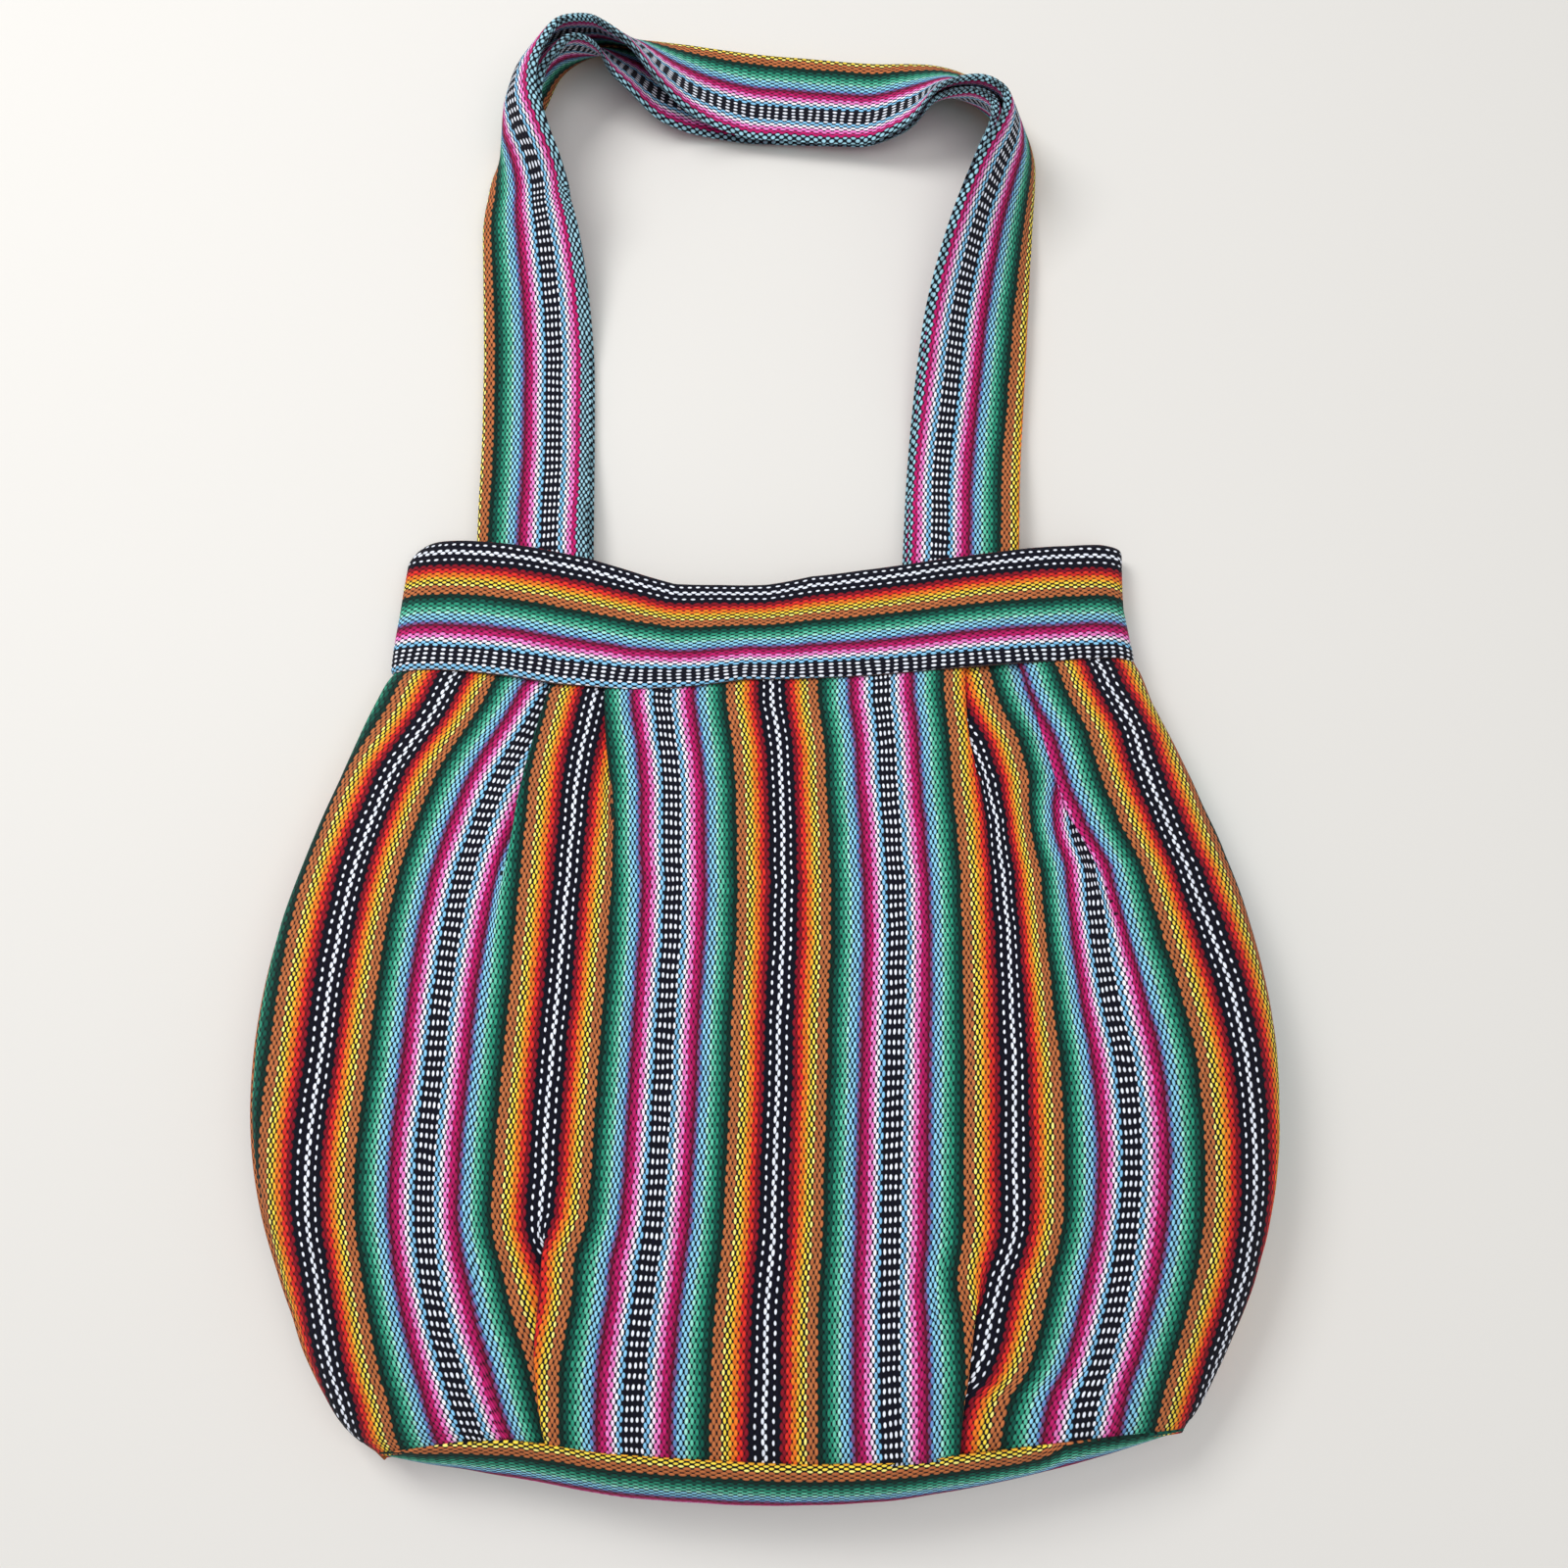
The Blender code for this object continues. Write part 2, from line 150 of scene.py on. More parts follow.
# Below the belly the bag moves to the right, and its right side towards the mouth. Its left
# corner flares out.
BASE_SHIFT, BASE_LEAN = 6.0, 4.5
FLARE, FLARE_DROP = 6.0, 230.0
# How far the left seam moves along the surface with the flare and with the tuck.
FLARE_ROUND, TUCK_ROUND = 0.97, 0.76
RING_POINTS = 400


def swell(drop, sizes, power):
    """A size of the bag at this drop: it grows from the band to the belly, then shrinks."""
    up = math.sin(min(drop / BELLY_DROP, 1.0) * math.pi / 2)
    down = max(drop - BELLY_DROP, 0.0) / (PANEL_DROP - BELLY_DROP)
    grown = sizes["band"] + (sizes["belly"] - sizes["band"]) * up
    return grown - (sizes["belly"] - sizes["base"]) * down**power


def ring(drop):
    """The bag's surface in one row: points and outward normals by the distance round it.

    The distance starts at the left side seam, goes over the front, and back underneath."""
    if drop < 0:
        up = min(-drop / BAND_WIDTH, 1.0)
        sizes = (HALF, SEAM, CROWN, SAG)
        half, seam, crown, sag = (s["band"] + (s["mouth"] - s["band"]) * up for s in sizes)
        roll = lean = 0.0
    else:
        half, seam, crown = swell(drop, HALF, 2.2), swell(drop, SEAM, 2.0), swell(drop, CROWN, 2.0)
        sag = SAG["band"] + (SAG["base"] - SAG["band"]) * drop / PANEL_DROP
        roll = SEAM_ROLL * max(math.sin(math.pi * drop / PANEL_DROP), 0.0)
        lean = (max(drop - BELLY_DROP, 0.0) / (PANEL_DROP - BELLY_DROP)) ** 2
    angle = np.linspace(math.pi, -math.pi, 2 * RING_POINTS + 1)
    front = np.arange(2 * RING_POINTS + 1) <= RING_POINTS
    power = np.where(front, 2 / DOME, 2 / SOLE)
    across = np.sign(np.cos(angle)) * np.abs(np.cos(angle)) ** power
    rise = np.abs(np.sin(angle)) ** power
    x = half * across + BASE_SHIFT * lean + CENTRE
    edge = np.maximum((np.abs(across) - 1 + TUCK_IN_SHARE) / TUCK_IN_SHARE, 0.0) ** 2
    right, left = (np.interp(drop, *zip(*tuck_in)) for tuck_in in (TUCK_IN_RIGHT, TUCK_IN_LEFT))
    x -= np.where(across > 0, right, -left) * edge
    rounded = max(drop - FLARE_DROP, 0.0) / (PANEL_DROP - FLARE_DROP)
    flare = FLARE * rounded * (1 - min(rounded, 1.0) ** 6)
    x -= flare * np.maximum(-across, 0.0) ** 3
    slump = np.where(front, sag, sag * BACK_SAG) * np.cos(across * math.pi / 2) ** 2
    y = SEAM_LINE - drop - slump + BASE_LEAN * lean * across
    z = np.where(front, seam + (crown - seam) * rise, seam * (1 - np.minimum(SOLE_PRESS * rise, 1.0)))
    arc = np.concatenate([[0.0], np.cumsum(np.hypot(np.diff(x), np.diff(z)))])
    tangent = np.stack([np.gradient(x, arc), np.gradient(z, arc)], axis=1)
    tangent /= np.linalg.norm(tangent, axis=1)[:, None]
    return {
        "arc": arc,
        "points": np.stack([x, y, z], axis=1),
        "normals": np.stack([-tangent[:, 1], 0 * x, tangent[:, 0]], axis=1),
        "front": arc[RING_POINTS],
        "roll": roll,
        "moved": FLARE_ROUND * flare - TUCK_ROUND * left,
    }


def on_ring(row, arc):
    """Points and outward normals at these distances round a row."""
    arc = np.mod(arc, row["arc"][-1])
    point = np.stack([np.interp(arc, row["arc"], row["points"][:, k]) for k in range(3)], axis=-1)
    out = np.stack([np.interp(arc, row["arc"], row["normals"][:, k]) for k in range(3)], axis=-1)
    return point, out / np.linalg.norm(out, axis=-1)[..., None]


def course(table, drop):
    """A smooth line through the table's (drop, value) pairs, read at this drop."""
    places, values = np.array(table, float).T
    slopes = np.gradient(values, places)
    i = int(np.clip(np.searchsorted(places, drop) - 1, 0, len(places) - 2))
    step = places[i + 1] - places[i]
    t = min(max((drop - places[i]) / step, 0.0), 1.0)
    rest = 1 - t
    return (
        values[i] * rest * rest * (1 + 2 * t)
        + values[i + 1] * t * t * (3 - 2 * t)
        + step * t * rest * (slopes[i] * rest - slopes[i + 1] * t)
    )


# The six pleats from left to right. On each half, one runs up from the base between two that run
# down from the band. Each has the side that its fold covers (1 for the right), the length over
# which its lower layer sinks, its fold's place from the left seam, and the cloth hidden behind it.
# The last two are pairs of drop and value, in millimetres.
PLEATS = (
    (
        1,
        5.0,
        (
            (0, 68.5), (10, 69.8), (29, 71.3), (50, 73.3), (66, 75.6), (90, 77.5), (120, 80), (150, 80),
            (205, 75), (240, 66), (272, 52),
        ),
        (
            (0, 24), (10, 22.5), (20, 20), (30, 17.5), (45, 13), (60, 8.2), (80, 3.7), (100, 1.4),
            (120, 0), (272, 0),
        ),
    ),
    (
        1,
        6.0,
        (
            (0, 77), (41, 88), (73, 96), (120, 102), (160, 103.5), (194, 101.5), (201, 99.6), (208, 97),
            (214, 94.8), (220, 92.3), (230, 87.5), (240, 82.1), (254, 75.2), (261, 71.2), (272, 64.8),
        ),
        (
            (0, 0), (194, 0), (198, 2), (202, 4.5), (206, 8.4), (209, 10), (214, 12), (220, 13.5),
            (230, 18.5), (240, 23.5), (244, 25.6), (254, 26.9), (272, 29.4),
        ),
    ),
    (
        1,
        5.0,
        (
            (0, 87), (10, 90.6), (23, 95.4), (41, 102.6), (57, 109.5), (73, 114), (95, 117), (150, 120),
            (205, 116), (230, 107), (245, 99), (258, 91), (272, 81),
        ),
        ((0, 16.5), (10, 14), (20, 11), (30, 7.8), (45, 4.7), (60, 3), (80, 1.2), (100, 0), (272, 0)),
    ),
    (
        -1,
        5.0,
        (
            (0, 219), (13, 222.4), (28, 227.3), (40, 232.6), (47, 235.6), (60, 240), (80, 245),
            (120, 245), (150, 243), (205, 229), (272, 186),
        ),
        ((0, 17.5), (10, 15), (20, 12), (30, 7.8), (45, 3.7), (60, 1.9), (80, 1), (100, 0), (272, 0)),
    ),
    (
        -1,
        5.0,
        (
            (0, 227.5), (13, 232.5), (28, 238.5), (40, 243), (80, 252.5), (120, 254), (150, 253.5),
            (180, 250.5), (205, 243), (218, 236.5), (228, 230.8), (241, 222.8), (248, 218), (254, 213.2),
            (262, 206.9), (272, 199),
        ),
        ((0, 0), (210, 0), (218, 2.5), (228, 7.5), (241, 12), (248, 15), (254, 21), (262, 23), (272, 24)),
    ),
    (
        1,
        8.0,
        (
            (0, 238.5), (11, 245), (28, 253.2), (46, 262.2), (59, 268.9), (72, 278.3), (88, 288.2),
            (120, 302), (150, 308), (180, 307), (205, 300), (230, 286), (258, 262), (272, 250),
        ),
        (
            (0, 25), (20, 24), (46, 21), (58, 11.5), (69, 7.5), (80, 5.2), (100, 3.4), (120, 1.5),
            (140, 0), (272, 0),
        ),
    ),
)
# How many columns of plain cloth lie before, between and after the pleats.
PLAIN_COLUMNS = (30, 8, 8, 46, 4, 8, 44)
PLEAT_DEPTH = 2.1  # how far down a pleat's lowest layer lies
PLEAT_GAP = 0.3  # between the two layers that lie under a fold
FOLD_OVER = 0.6  # how far a fold's edge stands over the cloth that it covers
FOLD_SIDE = 3.0  # the length over which the cloth levels out beside a fold
LEAST_TUCK = 1.2  # the least that a fold's inside runs in
SHUT = 9.0  # a pleat lies flat where it hides this much cloth
STEEP = 14.0  # and the cloth slopes most where it hides this much
SLOPE, SLOPE_LENGTH = 2.0, 18.0  # how much the cloth slopes at a fold, and over which length
LEFT_TRIM, TRIM_DROP = -8.0, 240.0  # the left seam rolls to the front this much less, down to here

# Where the middles of the nine stripe groups lie, measured along the cloth from the left seam,
# by the drop. Black and white groups take turns: dots and zigzag, then ladder.
STRIPES = (
    (0, 33, 72.4, 111, 149.6, 188.5, 228.8, 267.5, 311, 327),
    (20, 31.9, 70.1, 108.8, 147.2, 187, 225.6, 263.9, 305.1, 325),
    (45, 25.1, 65.7, 105.6, 144.3, 182.5, 220.3, 258.7, 295.1, 317.6),
    (60, 24.2, 64.6, 104.2, 142.1, 180.5, 218.5, 257, 285.7, 317.5),
    (80, 23.5, 63.9, 103.6, 141.4, 179, 217.8, 255.7, 286.9, 321.7),
    (100, 24.2, 64.6, 104.1, 141.3, 178.9, 218, 255.8, 286.5, 327.1),
    (120, 25.2, 65.6, 104.7, 141.7, 179.2, 218.5, 257.2, 289.8, 334.2),
    (150, 25.5, 66, 105, 142.6, 180.5, 219, 259, 296.7, 341),
    (180, 21.8, 63.3, 102.8, 140.2, 178.3, 216.8, 257, 296.5, 340.7),
    (200, 19, 60.3, 99.2, 135.4, 174.3, 212.7, 253.1, 291, 336.4),
    (215, 17.7, 57.9, 100.7, 129.2, 168.6, 208.1, 245.2, 284.4, 329.6),
    (230, 14.6, 55.3, 99.3, 121.5, 162.1, 202, 242.6, 275.2, 319.5),
    (245, 9.9, 52.2, 96.3, 112.7, 154.4, 194.3, 236, 263.5, 307),
    (258, 5.6, 48, 90.2, 104, 146, 186.5, 226.9, 251, 295.5),
    (272, -3.5, 42.4, 82.4, 94, 136, 177, 216.3, 239, 283),
)
# These pleats, counted from 0, hide cloth that the places above leave out. It comes before the
# stripe group with this number, also counted from 0.
BEYOND = {1: 3, 4: 7, 5: 8}
STRIPE_STEP = 48  # warp threads from one group's middle to the next
FLANK, FLANK_THREAD = 20.4, -19.5  # the left flank starts this far out, at this thread
LEFT_FLANK_THREAD, RIGHT_FLANK_THREAD = 1.5, 1.05  # the width that a thread has on each flank
BACK_SEAM_THREAD, BACK_SEAM_BLEND = -18.5, 45.0  # the back's thread at the left seam
THREAD = 0.84  # width of one warp thread
PICK = 1.7  # from one weft thread to the next
CLOTH = 0.9  # thickness of the cloth
LOWEST = 0.15  # height of the lowest cloth over the table
END_THREAD = (2.0, 0.5)  # a black thread, which shows where a band or a handle is closed
RIPPLE = 0.55  # height of the front's soft random swell
SEAM_IN, BAND_IN = 1.6, 1.8  # how deep a panel turns in at a seam, and under the band's edge
SIDE_CURVE, BASE_CURVE, TOP_CURVE = 2.2, 2.5, 2.0  # over which lengths it turns in there
BASE_TURNED_IN, TOP_TURNED_IN = 1.2, 2.0  # how far it goes on past them
PANEL_ROWS = 112
EVEN = 61  # over how many columns the count of picks is evened out

# How far the band's lower edge lies below a straight one, by the share of the front's width.
BAND_LOW_EDGE = (
    (0, 3.5), (0.04, 4), (0.07, 4.3), (0.18, 6.3), (0.24, 7.8), (0.33, 7.3), (0.405, 4), (0.476, 0),
    (0.57, 0), (0.77, 0.8), (0.87, 1), (0.95, -1), (1, -1),
)
# How far the front's seam at the base rises above a straight one, by X, and from which drop on.
BASE_LIFT = (
    (-139, 0), (-120, 2.5), (-100, 5.5), (-81, 7), (-65, 6), (-50, 4.5), (-17, 3), (15, 1), (40, 0),
)
LIFT_DROP = 212.0


def tuck(hidden, way, sink, shrink):
    """One pleat across: places beside its fold edge, depths, and how the cloth is shared out."""
    shut = min(hidden / SHUT, 1.0)
    shut = shut * shut * (3 - 2 * shut)
    sink, out = sink * shrink, FOLD_SIDE * shrink
    reach = max(hidden / 2, LEAST_TUCK)
    nose = (PLEAT_DEPTH - PLEAT_GAP) / 2
    fall = np.linspace(0.0, 1.0, 7)
    turn = np.linspace(0.0, math.pi, 8)
    # The cloth falls to the lowest layer, runs in under the fold, comes back, and turns over.
    place = np.concatenate(
        [
            -sink + (sink + FOLD_OVER) * fall,
            [reach * 0.6, reach, reach, reach * 0.55],
            nose * (1.1 - np.sin(turn)),
            [out * 0.7, out],
        ]
    )
    depth = np.concatenate(
        [
            PLEAT_DEPTH * (1 - np.cos(math.pi * fall)) / 2,
            [PLEAT_DEPTH, PLEAT_DEPTH, PLEAT_DEPTH - PLEAT_GAP, PLEAT_DEPTH - PLEAT_GAP],
            nose * (1 + np.cos(turn)),
            [0.0, 0.0],
        ]
    )
    spread = np.linspace(-sink, out, len(place))
    place = spread + (place - spread) * shut
    depth = depth * shut
    run = np.concatenate([[0.0], np.cumsum(np.hypot(np.diff(place), np.diff(depth)))])
    cloth = run / run[-1] * (place[-1] - place[0] + hidden)
    if way < 0:
        return -place[::-1], depth[::-1], cloth[-1] - cloth[::-1]
    return place, depth, cloth


def wave(x, y, size, seed):
    """A soft random height between -1 and 1, the same in each run."""
    return noise.noise(Vector((x / size, y / size, seed)))


def panel_row(drop, side):
    """Distances round the ring, depths under it, and warp threads, across one row of a panel."""
    row = ring(drop)
    trim = LEFT_TRIM * math.sin(math.pi * min(drop / TRIM_DROP, 1.0))
    if side == "front":
        start, length, sense = row["roll"] + row["moved"], row["front"] - row["moved"], 1.0
        here, scale = trim - row["moved"], 1.0
    else:
        start, length, sense = row["arc"][-1] + row["roll"], row["arc"][-1] - row["front"], -1.0
        here, scale = -trim, length / row["front"]
    at, depth, cloth = [here], [0.0], [here]
    folds, tucked = [], 0.0
    for plain, pleat in zip(PLAIN_COLUMNS, (*PLEATS, None)):
        if pleat:
            way, sink, line, hidden = pleat
            hidden = max(np.interp(drop, *zip(*hidden)), 0.0)
            shrink = 0.3 + 0.7 * min(hidden / SHUT, 1.0)
            place, deep, share = tuck(hidden, way, sink, shrink)
            middle = course(line, drop) * scale
            first = middle + place[0]
            folds.append((middle, way, min(hidden / STEEP, 1.0)))
        else:
            first = length
        for step in range(1, plain + 1):
            at.append(here + (first - here) * step / (plain + 1))
            depth.append(0.0)
            cloth.append(at[-1] + tucked)
        if pleat:
            at.extend(middle + place)
            depth.extend(deep)
            cloth.extend(first + tucked + share)
            tucked += hidden
            here = middle + place[-1]
    at.append(length)
    depth.append(0.0)
    cloth.append(length + tucked)
    at, depth, cloth = np.array(at), np.array(depth), np.array(cloth)
    for middle, way, amount in folds:
        away = way * (at - middle) / SLOPE_LENGTH
        depth = depth - SLOPE * amount * away * np.exp(-away * away)
    groups = len(STRIPES[0]) - 1
    stripes = np.array([course([(r[0], r[k + 1]) for r in STRIPES], drop) for k in range(groups)])
    for number, group in BEYOND.items():
        stripes[group:] += np.interp(drop, *zip(*PLEATS[number][3]))
    threads = STRIPE_STEP * np.arange(groups) + 0.5
    # Towards the side seams the cloth turns away, and its threads lie wider apart on the left.
    left, right = stripes[0] - FLANK, max(cloth[-1], stripes[-1] + 0.1)
    far = min(cloth[0], left - 0.1)
    known = np.concatenate([[far, left], stripes, [right]])
    first_thread = FLANK_THREAD - (left - far) / LEFT_FLANK_THREAD
    last_thread = threads[-1] + (right - stripes[-1]) / RIGHT_FLANK_THREAD
    threads = np.concatenate([[first_thread, FLANK_THREAD], threads, [last_thread]])
    warp = np.interp(cloth, known, threads)
    if side == "back":
        warp = warp + (BACK_SEAM_THREAD - warp[0]) * np.exp(-(at - at[0]) / BACK_SEAM_BLEND)
    return row, start + sense * at, at, depth, warp


def cloth_object(name, points, threads, thickness=0.0, closed=False):
    """A woven piece from a grid of points in millimetres, with a UV map that counts its threads."""
    rows, columns = points.shape[:2]
    mesh = bmesh.new()
    bmesh.ops.create_grid(mesh, x_segments=columns - 1, y_segments=rows - 1, size=1.0)
    mesh.verts.ensure_lookup_table()
    for vertex, place in zip(mesh.verts, points.reshape(-1, 3) * MM):
        vertex.co = place
    counts = threads.reshape(-1, 2)
    layer = mesh.loops.layers.uv.new("threads")
    for face in mesh.faces:
        face.smooth = True
        for corner in face.loops:
            corner[layer].uv = counts[corner.vert.index]
    if closed:
        bmesh.ops.remove_doubles(mesh, verts=mesh.verts, dist=1e-6)
        ends = bmesh.ops.holes_fill(mesh, edges=[e for e in mesh.edges if e.is_boundary], sides=0)
        for face in ends["faces"]:
            for corner in face.loops:
                corner[layer].uv = END_THREAD
        bmesh.ops.recalc_face_normals(mesh, faces=mesh.faces)
    data = bpy.data.meshes.new(name)
    mesh.to_mesh(data)
    mesh.free()
    piece = bpy.data.objects.new(name, data)
    bpy.context.scene.collection.objects.link(piece)
    if thickness:
        wall = piece.modifiers.new("cloth_thickness", "SOLIDIFY")
        wall.thickness = thickness * MM
        wall.offset = -1.0
        wall.use_even_offset = False
    return piece


# The stripes of one repeat, from the middle of the dotted group out to the middle of the ladder.
# Each colour starts at this thread, and its grains are this slender: thin yarns show more weft.
YARNS = (
    (0, "#EEF3FF", 0.30),
    (1, "#0A0A1C", 0.0),
    (3, "#EEF3FF", 0.48),
    (4, "#0A0A1C", 0.0),
    (6, "#8A1024", 0.0),
    (8, "#DC2E26", 0.05),
    (10, "#F47A26", 0.12),
    (12, "#F8B232", 0.18),
    (13, "#FADC48", 0.42),
    (15, "#FFEE80", 0.42),
    (16, "#BE6E40", 0.18),
    (20, "#0A2E26", 0.0),
    (22, "#0E5446", 0.05),
    (24, "#2C9074", 0.18),
    (26, "#5CC0A2", 0.24),
    (28, "#9CE4D4", 0.30),
    (29, "#8CD0EC", 0.32),
    (32, "#6890C8", 0.18),
    (33, "#7A4C80", 0.10),
    (34, "#6E1034", 0.0),
    (35, "#A01450", 0.0),
    (36, "#C01E6A", 0.05),
    (38, "#F480CA", 0.20),
    (40, "#FFDCF6", 0.30),
    (41, "#F4F6FF", 0.30),
    (42, "#88C8F0", 0.32),
)
LADDER_GRAIN = 0.42  # how slender the grains of the ladder and of the selvage are
LADDER = 44  # from this thread on, black and white threads take turns
REPEAT = 96
WEFT = "#0A0A16"
SELVAGE_COLOUR = "#9CCCDC"
GRAIN_RELIEF = 0.35  # how far a grain's top stands over its edge, in millimetres
# How far the threads wander, in warps and picks, and how often: the higher, the shorter the bends.
WANDER, WANDER_SCALE = (0.8, 0.9, 0.0), (0.11, 0.2, 0.0)


def woven_cotton(name, selvage=None):
    """Warp-faced plain weave. Dyed cotton warps lie side by side and pass over and under dark
    wefts, so each shows as a row of rounded grains, and dark specks of weft show between them."""
    material, tree, shader = new_material(name)
    count = add_node(tree, "UVMap", {"uv_map": "threads"}, {})
    # Hand weaving: the threads wander a little from their places.
    place = add_node(tree, "VectorMath", {"operation": "MULTIPLY"}, {0: count, 1: WANDER_SCALE})
    drift = add_node(
        tree, "TexNoise", {"noise_dimensions": "2D"}, {"Vector": place, "Scale": 1.0, "Detail": 1.0}
    )
    drift = drift.outputs["Color"]
    shift = add_node(tree, "VectorMath", {"operation": "SUBTRACT"}, {0: drift, 1: (0.5, 0.5, 0.5)})
    moved = add_node(tree, "VectorMath", {"operation": "MULTIPLY_ADD"}, {0: shift, 1: WANDER, 2: count})
    parts = add_node(tree, "SeparateXYZ", {}, {0: moved})
    warp, pick = parts.outputs["X"], parts.outputs["Y"]
    # The nearest grain: the thread's and the pick's numbers, which are both odd or both even.
    total = add_node(tree, "Math", {"operation": "ADD"}, {0: warp, 1: pick})
    rest = add_node(tree, "Math", {"operation": "SUBTRACT"}, {0: warp, 1: pick})
    near = add_node(tree, "Math", {"operation": "MULTIPLY"}, {0: total, 1: 0.5})
    near = add_node(tree, "Math", {"operation": "ROUND"}, {0: near})
    far = add_node(tree, "Math", {"operation": "MULTIPLY"}, {0: rest, 1: 0.5})
    far = add_node(tree, "Math", {"operation": "ROUND"}, {0: far})
    thread = add_node(tree, "Math", {"operation": "ADD"}, {0: near, 1: far})
    crossing = add_node(tree, "Math", {"operation": "SUBTRACT"}, {0: near, 1: far})
    # A grain's rounded height: one at its middle, nothing at the corners of its lozenge.
    beside = add_node(tree, "Math", {"operation": "SUBTRACT"}, {0: warp, 1: thread})
    beside = add_node(tree, "Math", {"operation": "MULTIPLY"}, {0: beside, 1: math.pi / 2})
    beside = add_node(tree, "Math", {"operation": "COSINE"}, {0: beside})
    along = add_node(tree, "Math", {"operation": "SUBTRACT"}, {0: pick, 1: crossing})
    along = add_node(tree, "Math", {"operation": "MULTIPLY"}, {0: along, 1: math.pi / 2})
    along = add_node(tree, "Math", {"operation": "COSINE"}, {0: along})
    grain = add_node(tree, "Math", {"operation": "MULTIPLY"}, {0: beside, 1: along})
    # How many threads it is from the middle of its dotted group, and so the thread's colour.
    turned = add_node(tree, "Math", {"operation": "ADD"}, {0: thread, 1: REPEAT / 2 - 0.5})
    turned = add_node(tree, "Math", {"operation": "FLOORED_MODULO"}, {0: turned, 1: float(REPEAT)})
    turned = add_node(tree, "Math", {"operation": "SUBTRACT"}, {0: turned, 1: REPEAT / 2})
    turned = add_node(tree, "Math", {"operation": "ABSOLUTE"}, {0: turned})
    number = add_node(tree, "Math", {"operation": "FLOOR"}, {0: turned})
    share = add_node(tree, "Math", {"operation": "ADD"}, {0: number, 1: 0.5})
    share = add_node(tree, "Math", {"operation": "DIVIDE"}, {0: share, 1: REPEAT / 2})
    plain = add_node(tree, "ValToRGB", {}, {"Fac": share})
    plain.color_ramp.interpolation = "CONSTANT"
    stops = plain.color_ramp.elements
    stops.remove(stops[1])
    for first, colour, slender in YARNS:
        stop = stops.new(first / (REPEAT / 2)) if first else stops[0]
        stop.color = (*linear(colour)[:3], slender)
    odd = add_node(tree, "Math", {"operation": "FLOORED_MODULO"}, {0: thread, 1: 2.0})
    colours = {6: linear(YARNS[0][1]), 7: linear(YARNS[1][1])}
    ladder = add_node(tree, "Mix", {"data_type": "RGBA"}, {0: odd, **colours})
    middle = add_node(tree, "Math", {"operation": "GREATER_THAN"}, {0: number, 1: LADDER - 0.5})
    dyed = add_node(tree, "Mix", {"data_type": "RGBA"}, {0: middle, 6: plain, 7: ladder.outputs[2]})
    dyed = dyed.outputs[2]
    slender = add_node(
        tree, "Mix", {"data_type": "FLOAT"}, {0: middle, 2: plain.outputs["Alpha"], 3: LADDER_GRAIN}
    )
    if selvage:
        # The handles' turned-in edge is loose: pale blue grains stand apart on the dark weft.
        beyond = add_node(tree, "Math", {"operation": "GREATER_THAN"}, {0: thread, 1: selvage})
        dyed = add_node(tree, "Mix", {"data_type": "RGBA"}, {0: beyond, 6: dyed, 7: linear(SELVAGE_COLOUR)})
        dyed = dyed.outputs[2]
        slender = add_node(tree, "Mix", {"data_type": "FLOAT"}, {0: beyond, 2: slender, 3: LADDER_GRAIN})
    # Each grain takes the dye a little differently. Painted shade darkens each grain's sides and a painted
    # highlight lightens its rounded top, in the colour itself; the dark weft shows only in the specks between
    # four grains.
    spot = add_node(tree, "CombineXYZ", {}, {"X": thread, "Y": crossing})
    mottle = add_node(tree, "TexWhiteNoise", {"noise_dimensions": "2D"}, {"Vector": spot})
    mottle = mottle.outputs["Value"]
    dye = add_node(tree, "MapRange", {}, {"Value": mottle, "To Min": 0.86, "To Max": 1.10})
    # Painted shade and highlight: the colour falls to a sixth of the dye at a grain's edge and rises above it
    # at the grain's top.
    grain_painted_shade_and_highlight = add_node(
        tree,
        "MapRange",
        {"interpolation_type": "SMOOTHSTEP"},
        {"Value": grain, "From Min": 0.10, "From Max": 0.95, "To Min": 0.16, "To Max": 1.12},
    )
    mottle_and_painted_shade = add_node(tree, "Math", {"operation": "MULTIPLY"}, {0: dye, 1: grain_painted_shade_and_highlight})
    # The dyed colour scaled by the random mottle and by the painted shade and highlight of each grain.
    dye_with_painted_shade = add_node(tree, "VectorMath", {"operation": "SCALE"}, {0: dyed, "Scale": mottle_and_painted_shade})
    thinned = add_node(tree, "Math", {"operation": "SUBTRACT"}, {0: grain, 1: slender})
    cover = add_node(
        tree,
        "MapRange",
        {"interpolation_type": "SMOOTHSTEP"},
        {"Value": thinned, "From Min": 0.12, "From Max": 0.42},
    )
    surface = add_node(tree, "Mix", {"data_type": "RGBA"}, {0: cover, 6: linear(WEFT), 7: dye_with_painted_shade})
    bump = add_node(tree, "Bump", {}, {"Height": grain, "Distance": GRAIN_RELIEF * MM, "Strength": 0.8})
    tree.links.new(surface.outputs[2], shader.inputs["Base Color"])
    tree.links.new(bump.outputs["Normal"], shader.inputs["Normal"])
    shader.inputs["Roughness"].default_value = 0.9
    shader.inputs["Specular IOR Level"].default_value = 0.2
    shader.inputs["Sheen Weight"].default_value = 0.03
    shader.inputs["Sheen Roughness"].default_value = 0.5
    return material


def base_lift(x):
    """How far the front's seam at the base rises above a straight one, over this X."""
    return np.interp(x, *zip(*BASE_LIFT))


